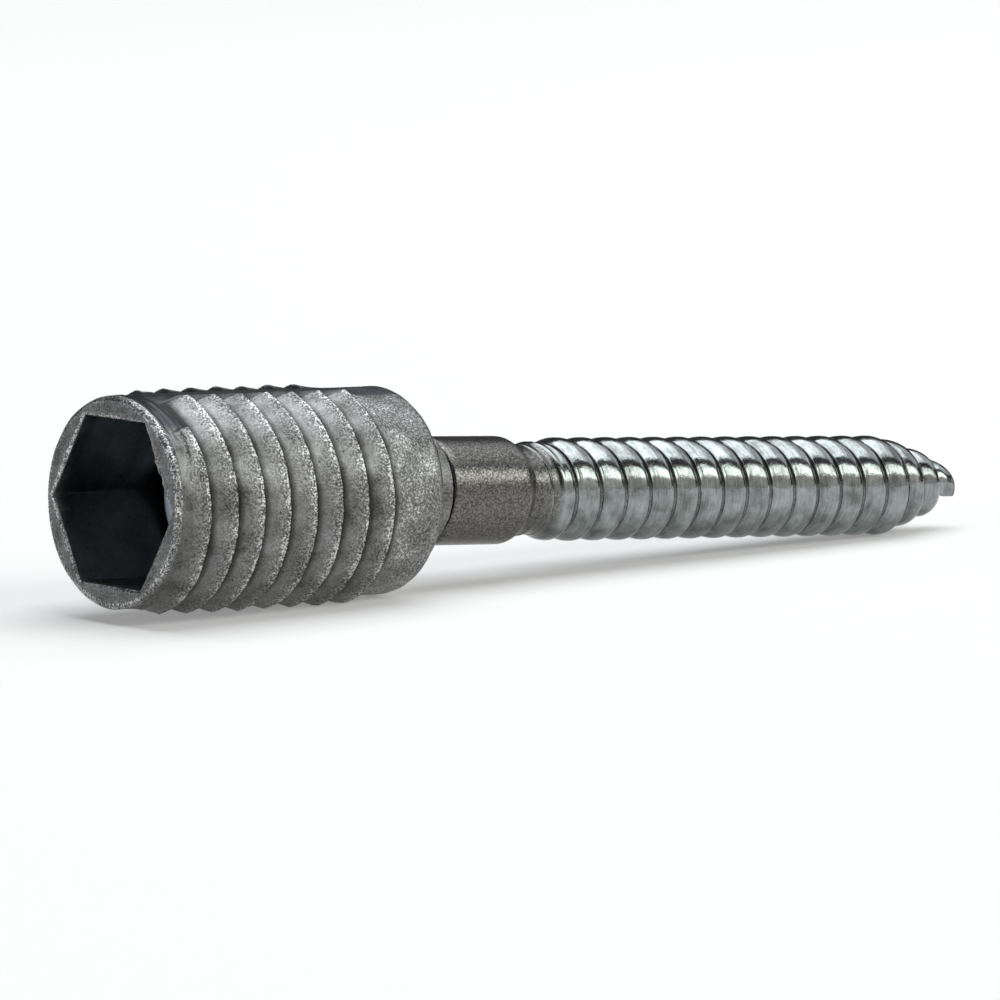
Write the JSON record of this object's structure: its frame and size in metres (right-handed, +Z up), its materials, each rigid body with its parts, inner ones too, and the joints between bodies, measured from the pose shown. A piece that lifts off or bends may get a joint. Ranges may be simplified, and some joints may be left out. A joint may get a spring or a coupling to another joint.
{
  "type": "adjustable frame screw",
  "caption": "Adjustable frame screw: a wood screw with a cone point held captive in a short threaded metal sleeve with a deep hexagon socket.",
  "frame": {"origin": "on the table plane, under the middle of the lying part", "axes": "+X along the part towards the screw's point, +Z up, the camera side is -Y"},
  "size_m": [0.072, 0.014, 0.0138],
  "materials": {
    "zinc": "rough die-cast zinc, bright on the crests",
    "plated_steel": "smooth zinc-plated steel, semi-gloss"
  },
  "bodies": {
    "screw": {"screw": "plated_steel"},
    "sleeve": {"sleeve": "zinc"}
  },
  "joints": [
    {"name": "sleeve_turn", "type": "hinge", "parent": "screw", "child": "sleeve", "pos_m": [-0.01864, 0, 0.00661], "axis": [0.999, 0, -0.0438], "continuous": true}
  ]
}
